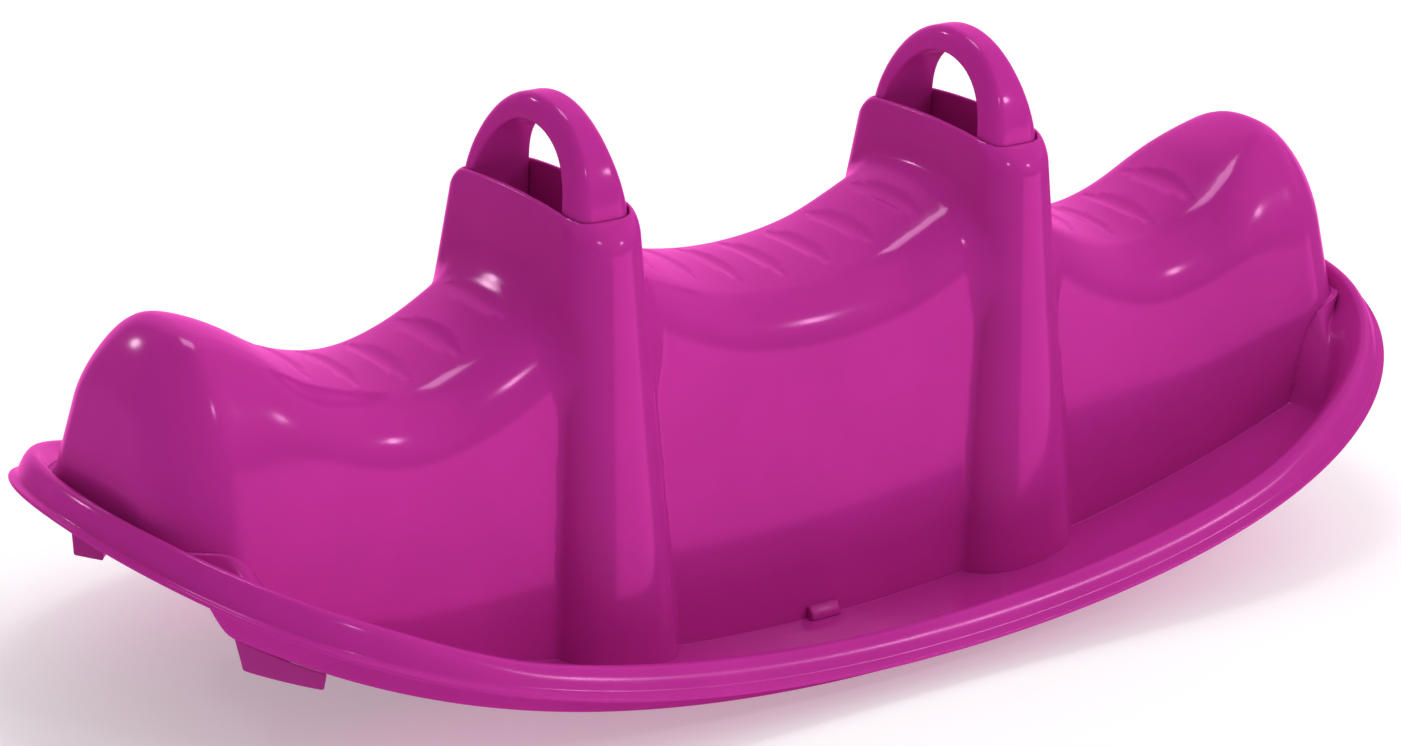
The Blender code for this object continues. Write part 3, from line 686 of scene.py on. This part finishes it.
def handle_mesh(x):
    """Hoop that stands on two legs in the tower's pocket and narrows to the crown."""
    path = []
    for z in np.linspace(POCKET_FLOOR_Z + GAP, HANDLE_SPRING_Z, 12)[:-1]:
        path.append((-1.0, z, 0.0))
    for k in range(73):
        a = math.pi * k / 72
        path.append((-math.cos(a), HANDLE_SPRING_Z, a))
    for z in np.linspace(HANDLE_SPRING_Z, POCKET_FLOOR_Z + GAP, 12)[1:]:
        path.append((1.0, z, math.pi))
    rise = HANDLE_TOP_Z - HANDLE_SPRING_Z
    rings = []
    for side, z, a in path:
        outer = Vector((side * HANDLE_HALF_SPAN, z + rise * math.sin(a)))
        inner_span = HANDLE_HALF_SPAN - HANDLE_THICKNESS
        inner = Vector((side * inner_span, z + (rise - HANDLE_THICKNESS) * math.sin(a)))
        middle = (outer + inner) / 2
        half = (outer - inner) / 2
        half_depth = lerp(POCKET_HALF[0] - GAP, HANDLE_CROWN_HALF_DEPTH, float(smooth(math.sin(a))))
        ring = []
        for depth, thick in band_section(half_depth, half.length):
            spot = middle + half * (thick / half.length)
            ring.append((x + depth, spot.x, spot.y))
        rings.append(ring)
    return closed_stack(rings)


def closed_stack(rings):
    """A closed solid through rings of points, capped at both ends."""
    count = len(rings[0])
    points = [p for ring in rings for p in ring]
    faces = [tuple(range(count)), tuple(range(len(points) - 1, len(points) - count - 1, -1))]
    for k in range(0, len(points) - count, count):
        for j in range(count):
            n = (j + 1) % count
            faces.append((k + j, k + count + j, k + count + n, k + n))
    return points, faces


def foot_mesh(x_sign, y_sign):
    """Stop foot: a drafted block whose outer face follows the skirt, with rounded edges."""
    rings = []
    for k in range(19):
        draft = 0.7 * (abs(k - 9) / 9) ** 8
        ring = []
        for inset, bottom in ((38.7 + draft, True), (57.6, True), (58.0, False), (38.1, False)):
            reach = FOOT_BOTTOM_RANGE if bottom else FOOT_TOP_RANGE
            x, y = rim_point(rim_turn(lerp(*reach, k / 18), 38.0), inset)
            base = FOOT_BOTTOM_Z + FOOT_BOTTOM_SLOPE * (x - FOOT_BOTTOM_RANGE[0])
            if bottom:
                z = base
            elif inset < 50.0:
                z = float(skirt_z(x)) - GAP
            else:
                z = max(float(floor_z(x) - floor_depth(x)) - 9.0, base + 5.0)
            ring.append((x_sign * x, y_sign * y, z))
        rings.append(ring)
    return closed_stack(rings)


def clip_mesh(y_sign):
    """Snap tab on the footwell floor: a small wedge that hooks over the shell's lower edge."""
    z = float(floor_z(0.0)) + GAP
    y = 95.5 + GAP
    profile = ((0.0, 0.0), (6.5, 0.0), (6.5, 2.0), (5.2, 4.6), (2.6, 8.2), (0.0, 8.5))
    rings = []
    for x in (-12.0, -11.0, 11.0, 12.0):
        shrink = 0.6 if abs(x) == 12.0 else 0.0
        rings.append([(x, y_sign * (y + max(o - shrink, 0.0)), z + max(u - shrink, 0.0)) for o, u in profile])
    return closed_stack(rings)


def bevelled(obj, width, segments=3, angle=30.0):
    """Rounds the edges with a bevel applied to the mesh, then shades it smooth."""
    bm = bmesh.new()
    bm.from_mesh(obj.data)
    bmesh.ops.recalc_face_normals(bm, faces=bm.faces)
    edges = [e for e in bm.edges if len(e.link_faces) == 2 and e.calc_face_angle(0.0) > math.radians(angle)]
    bmesh.ops.bevel(
        bm,
        geom=edges,
        offset=width * MM,
        offset_type="OFFSET",
        segments=segments,
        profile=0.5,
        affect="EDGES",
        clamp_overlap=True,
    )
    bm.to_mesh(obj.data)
    bm.free()
    obj.data.shade_smooth()
    obj.data.set_sharp_from_angle(angle=math.radians(50))


def face_out(obj, sharp=60.0):
    """Turns every face outwards and shades the piece smooth between edges sharper than that angle."""
    bm = bmesh.new()
    bm.from_mesh(obj.data)
    bmesh.ops.recalc_face_normals(bm, faces=bm.faces)
    if bm.calc_volume(signed=True) < 0:
        bmesh.ops.reverse_faces(bm, faces=bm.faces)
    bm.to_mesh(obj.data)
    bm.free()
    obj.data.shade_smooth()
    obj.data.set_sharp_from_angle(angle=math.radians(sharp))


# ---------------------------------------------------------------- materials


def node(tree, kind, **values):
    """New shader node with these settings."""
    made = tree.nodes.new(kind)
    for key, value in values.items():
        setattr(made, key, value)
    return made


def plastic(name, colour, roughness, bump=0.02, wear=0.06):
    """Glossy moulded plastic: faint mottling of the colour, rubbed patches and fine moulding texture."""
    made = bpy.data.materials.new(name)
    made.use_nodes = True
    tree = made.node_tree
    shader = tree.nodes["Principled BSDF"]
    shader.inputs["Roughness"].default_value = roughness
    shader.inputs["IOR"].default_value = 1.5
    shader.inputs["Specular Tint"].default_value = (1.0, 0.45, 0.85, 1.0)
    place = node(tree, "ShaderNodeTexCoord")
    mottle = node(tree, "ShaderNodeTexNoise")
    mottle.inputs["Scale"].default_value = 7.0
    mottle.inputs["Detail"].default_value = 5.0
    mottle.inputs["Roughness"].default_value = 0.6
    tree.links.new(place.outputs["Object"], mottle.inputs["Vector"])
    shades = node(tree, "ShaderNodeValToRGB")
    dark = tuple(c * 0.90 for c in colour)
    light = tuple(min(c * 1.07, 1.0) for c in colour)
    shades.color_ramp.elements[0].position = 0.3
    shades.color_ramp.elements[0].color = (*dark, 1.0)
    shades.color_ramp.elements[1].position = 0.72
    shades.color_ramp.elements[1].color = (*light, 1.0)
    tree.links.new(mottle.outputs["Fac"], shades.inputs["Fac"])
    tree.links.new(shades.outputs["Color"], shader.inputs["Base Color"])
    rub = node(tree, "ShaderNodeTexNoise")
    rub.inputs["Scale"].default_value = 16.0
    rub.inputs["Detail"].default_value = 7.0
    rub.inputs["Roughness"].default_value = 0.65
    rub.inputs["Distortion"].default_value = 0.4
    tree.links.new(place.outputs["Object"], rub.inputs["Vector"])
    polish = node(tree, "ShaderNodeMapRange")
    polish.inputs["From Min"].default_value = 0.35
    polish.inputs["From Max"].default_value = 0.75
    polish.inputs["To Min"].default_value = roughness
    polish.inputs["To Max"].default_value = roughness + wear
    tree.links.new(rub.outputs["Fac"], polish.inputs["Value"])
    tree.links.new(polish.outputs["Result"], shader.inputs["Roughness"])
    waves = node(tree, "ShaderNodeTexNoise")
    waves.inputs["Scale"].default_value = 28.0
    waves.inputs["Detail"].default_value = 2.0
    tree.links.new(place.outputs["Object"], waves.inputs["Vector"])
    grain = node(tree, "ShaderNodeTexNoise")
    grain.inputs["Scale"].default_value = 900.0
    grain.inputs["Detail"].default_value = 3.0
    tree.links.new(place.outputs["Object"], grain.inputs["Vector"])
    height = node(tree, "ShaderNodeMath", operation="MULTIPLY_ADD")
    height.inputs[1].default_value = 0.06
    tree.links.new(grain.outputs["Fac"], height.inputs[0])
    tree.links.new(waves.outputs["Fac"], height.inputs[2])
    relief = node(tree, "ShaderNodeBump")
    relief.inputs["Strength"].default_value = bump
    relief.inputs["Distance"].default_value = 0.002
    tree.links.new(height.outputs["Value"], relief.inputs["Height"])
    tree.links.new(relief.outputs["Normal"], shader.inputs["Normal"])
    return made


def steel(name):
    """Zinc-plated screw steel with a fine bumpy relief and dull spots."""
    made = bpy.data.materials.new(name)
    made.use_nodes = True
    tree = made.node_tree
    shader = tree.nodes["Principled BSDF"]
    shader.inputs["Metallic"].default_value = 1.0
    place = node(tree, "ShaderNodeTexCoord")
    spots = node(tree, "ShaderNodeTexNoise")
    spots.inputs["Scale"].default_value = 260.0
    spots.inputs["Detail"].default_value = 5.0
    tree.links.new(place.outputs["Object"], spots.inputs["Vector"])
    shades = node(tree, "ShaderNodeValToRGB")
    shades.color_ramp.elements[0].color = (0.42, 0.42, 0.41, 1.0)
    shades.color_ramp.elements[1].color = (0.72, 0.72, 0.74, 1.0)
    tree.links.new(spots.outputs["Fac"], shades.inputs["Fac"])
    tree.links.new(shades.outputs["Color"], shader.inputs["Base Color"])
    dull = node(tree, "ShaderNodeMapRange")
    dull.inputs["To Min"].default_value = 0.24
    dull.inputs["To Max"].default_value = 0.5
    tree.links.new(spots.outputs["Fac"], dull.inputs["Value"])
    tree.links.new(dull.outputs["Result"], shader.inputs["Roughness"])
    relief = node(tree, "ShaderNodeBump")
    relief.inputs["Strength"].default_value = 0.1
    relief.inputs["Distance"].default_value = 0.0004
    tree.links.new(spots.outputs["Fac"], relief.inputs["Height"])
    tree.links.new(relief.outputs["Normal"], shader.inputs["Normal"])
    return made


shell_plastic = plastic("seat_shell_plastic", (0.57, 0.031, 0.345), 0.11)
tray_plastic = plastic("rocker_tray_plastic", (0.56, 0.030, 0.34), 0.13)
handle_plastic = plastic("handle_plastic", (0.58, 0.031, 0.35), 0.11)
foot_plastic = plastic("stop_foot_plastic", (0.47, 0.025, 0.28), 0.3, wear=0.15)
clip_plastic = plastic("snap_clip_plastic", (0.54, 0.029, 0.33), 0.22)
screw_steel = steel("screw_steel")


# ---------------------------------------------------------------- pieces


def shell_sheets():
    """The shell's outer and inner surfaces, on grids that are finest at the pockets' walls and rims."""
    fine, wide = ((2.1, 4.1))
    rim, hidden = 1.2, 6.0
    walls = [(128, fine), (139, rim), (148, fine), (190, rim), (199, fine), (210, wide)]
    x_axis = mirrored([(0, wide), *walls, (500, 0)])
    y_axis = mirrored([(0, wide), (50, fine), (61, rim), (72, fine), (88, wide), (135, 0)])
    z_axis = spaced([(-4, wide), (264, fine), (286, 1.3), (306, 0)])
    outer = sheet_mesh(shell_outer, (x_axis, y_axis, z_axis), 0.1)
    x_in = mirrored([(0, hidden), (500, 0)])
    y_in = mirrored([(0, hidden), (135, 0)])
    z_in = spaced([(-4, hidden), (306, 0)])
    inner = sheet_mesh(shell_hollow, (x_in, y_in, z_in), GAP, flip=True)
    return [outer, inner]


piece("seat_shell", "shell_plastic", shell_plastic, *joined(shell_sheets() + bosses()))
tray = piece("rocker_tray", "tray_plastic", tray_plastic, *tray_mesh())
face_out(tray)

for side, x_sign in (("left", -1), ("right", 1)):
    hoop = piece(f"handle_{side}", "handle_plastic", handle_plastic, *handle_mesh(x_sign * TOWER_X))
    face_out(hoop)
    for depth, y_sign in (("near", -1), ("far", 1)):
        shape = foot_mesh(x_sign, y_sign)
        foot = piece(f"stop_foot_{side}_{depth}", "foot_plastic", foot_plastic, *shape)
        face_out(foot)
        bevelled(foot, 1.2)
for depth, y_sign in (("near", -1), ("far", 1)):
    clip = piece(f"snap_clip_{depth}", "clip_plastic", clip_plastic, *clip_mesh(y_sign))
    face_out(clip)
    bevelled(clip, 0.5)

for name, obj in frame["nodes"].items():
    if "screw" in name:
        obj.data.materials.clear()
        obj.data.materials.append(screw_steel)


# ---------------------------------------------------------------- studio


def camera():
    """Long lens from the near left, a little above, with a slight roll."""
    data = bpy.data.cameras.new("camera")
    obj = bpy.data.objects.new("camera", data)
    bpy.context.scene.collection.objects.link(obj)
    turn, rise, roll = 0.669585, 0.354458, 0.055588
    place = Vector((-1.63585, -2.02048, 1.10184))
    data.lens = 107.23
    data.sensor_width = 36.0
    data.clip_start = 0.1
    data.clip_end = 100.0
    back = Vector((-math.sin(turn) * math.cos(rise), -math.cos(turn) * math.cos(rise), math.sin(rise)))
    right = Vector((math.cos(turn), -math.sin(turn), 0.0))
    up = back.cross(right)
    right_rolled = right * math.cos(roll) + up * math.sin(roll)
    up_rolled = up * math.cos(roll) - right * math.sin(roll)
    matrix = Matrix((right_rolled, up_rolled, back)).transposed().to_4x4()
    matrix.translation = place
    obj.matrix_world = matrix
    bpy.context.scene.camera = obj


def softbox(name, place, target, size, power, colour=(1.0, 1.0, 1.0)):
    """Rectangular area light at this place, facing the target."""
    data = bpy.data.lights.new(name, "AREA")
    data.shape = "RECTANGLE"
    data.size, data.size_y = size
    data.energy = power
    data.color = colour
    obj = bpy.data.objects.new(name, data)
    bpy.context.scene.collection.objects.link(obj)
    obj.location = place
    obj.rotation_mode = "QUATERNION"
    obj.rotation_quaternion = (Vector(target) - Vector(place)).to_track_quat("-Z", "Y")
    return obj


def floor():
    """Plain pale floor with a faint glow that keeps shadows soft."""
    mesh = bpy.data.meshes.new("floor")
    reach = 9
    corners = [(-reach, -reach, 0), (reach, -reach, 0), (reach, reach, 0), (-reach, reach, 0)]
    mesh.from_pydata(corners, [], [(0, 1, 2, 3)])
    obj = bpy.data.objects.new("floor", mesh)
    bpy.context.scene.collection.objects.link(obj)
    made = bpy.data.materials.new("floor")
    made.use_nodes = True
    shader = made.node_tree.nodes["Principled BSDF"]
    shader.inputs["Base Color"].default_value = (0.93, 0.93, 0.93, 1.0)
    shader.inputs["Emission Color"].default_value = (1.0, 1.0, 1.0, 1.0)
    shader.inputs["Emission Strength"].default_value = 0.3
    shader.inputs["Roughness"].default_value = 0.9
    shader.inputs["Specular IOR Level"].default_value = 0.1
    mesh.materials.append(made)
    return obj


# Soft panels round the studio: azimuth (0 is +Y, 90 is +X), half-width, lowest and highest elevation,
# softness, all in degrees, and strength.
PANELS = (
    (36.0, 34.0, -30.0, 62.0, 9.0, 0.95),
    (112.0, 46.0, 16.0, 72.0, 10.0, 0.85),
    (140.0, 24.0, -32.0, 3.0, 5.0, 2.5),
    (-30.0, 30.0, 5.0, 60.0, 12.0, 0.15),
)


def ramp(tree, value, low, high):
    """Smooth step of a socket's value from low to high."""
    step = node(tree, "ShaderNodeMapRange", interpolation_type="SMOOTHSTEP")
    step.inputs["From Min"].default_value = low
    step.inputs["From Max"].default_value = high
    tree.links.new(value, step.inputs["Value"])
    return step.outputs["Result"]


def product(tree, a, b):
    """Product of a socket and another socket or a number."""
    times = node(tree, "ShaderNodeMath", operation="MULTIPLY")
    tree.links.new(a, times.inputs[0])
    if isinstance(b, float):
        times.inputs[1].default_value = b
    else:
        tree.links.new(b, times.inputs[1])
    return times.outputs["Value"]


def world(level, backdrop):
    """White backdrop for the eye, and soft panels on a dim room for the light."""
    made = bpy.data.worlds.new("studio")
    made.use_nodes = True
    tree = made.node_tree
    background = tree.nodes["Background"]
    place = node(tree, "ShaderNodeTexCoord")
    split = node(tree, "ShaderNodeSeparateXYZ")
    tree.links.new(place.outputs["Generated"], split.inputs["Vector"])
    flat = node(tree, "ShaderNodeVectorMath", operation="MULTIPLY")
    flat.inputs[1].default_value = (1.0, 1.0, 0.0)
    tree.links.new(place.outputs["Generated"], flat.inputs[0])
    heading = node(tree, "ShaderNodeVectorMath", operation="NORMALIZE")
    tree.links.new(flat.outputs["Vector"], heading.inputs[0])
    total = None
    for azimuth, half, low, high, soft, strength in PANELS:
        a = math.radians(azimuth)
        toward = node(tree, "ShaderNodeVectorMath", operation="DOT_PRODUCT")
        toward.inputs[1].default_value = (math.sin(a), math.cos(a), 0.0)
        tree.links.new(heading.outputs["Vector"], toward.inputs[0])
        edge = [math.cos(math.radians(half + soft)), math.cos(math.radians(max(half - soft, 0.0)))]
        mask = ramp(tree, toward.outputs["Value"], *edge)
        up = [math.sin(math.radians(low - soft)), math.sin(math.radians(low + soft))]
        mask = product(tree, mask, ramp(tree, split.outputs["Z"], *up))
        down = [math.sin(math.radians(high + soft)), math.sin(math.radians(high - soft))]
        falling = ramp(tree, split.outputs["Z"], down[1], down[0])
        rest = node(tree, "ShaderNodeMath", operation="SUBTRACT")
        rest.inputs[0].default_value = 1.0
        tree.links.new(falling, rest.inputs[1])
        mask = product(tree, mask, rest.outputs["Value"])
        glow = product(tree, mask, strength)
        if total is None:
            total = glow
        else:
            both = node(tree, "ShaderNodeMath", operation="ADD")
            tree.links.new(total, both.inputs[0])
            tree.links.new(glow, both.inputs[1])
            total = both.outputs["Value"]
    lifted = node(tree, "ShaderNodeMath", operation="ADD")
    lifted.inputs[1].default_value = level
    tree.links.new(total, lifted.inputs[0])
    eye = node(tree, "ShaderNodeLightPath")
    seen = node(tree, "ShaderNodeMix", data_type="FLOAT")
    tree.links.new(eye.outputs["Is Camera Ray"], seen.inputs["Factor"])
    tree.links.new(lifted.outputs["Value"], seen.inputs["A"])
    seen.inputs["B"].default_value = backdrop
    tree.links.new(seen.outputs["Result"], background.inputs["Strength"])
    tint = node(tree, "ShaderNodeMix", data_type="RGBA")
    tree.links.new(eye.outputs["Is Glossy Ray"], tint.inputs["Factor"])
    tint.inputs[6].default_value = (1.0, 1.0, 1.0, 1.0)
    tint.inputs[7].default_value = (1.0, 0.14, 0.62, 1.0)
    tree.links.new(tint.outputs[2], background.inputs["Color"])
    bpy.context.scene.world = made


camera()
ground = floor()
world(0.36, 1.0)
ground.visible_glossy = False
softbox("overhead", (0.3, 0.5, 3.0), (0.0, 0.0, 0.1), (0.9, 0.7), 12.0)
softbox("front_spot", (-0.1, -2.6, 2.3), (0.0, 0.0, 0.2), (0.22, 0.22), 4.0)
softbox("right_spot", (2.0, -2.2, 1.8), (0.0, 0.0, 0.2), (0.2, 0.2), 3.0)
softbox("back_spot", (-1.6, 2.6, 1.9), (0.0, 0.0, 0.2), (0.25, 0.25), 4.0)
bpy.context.scene.view_settings.view_transform = "Standard"
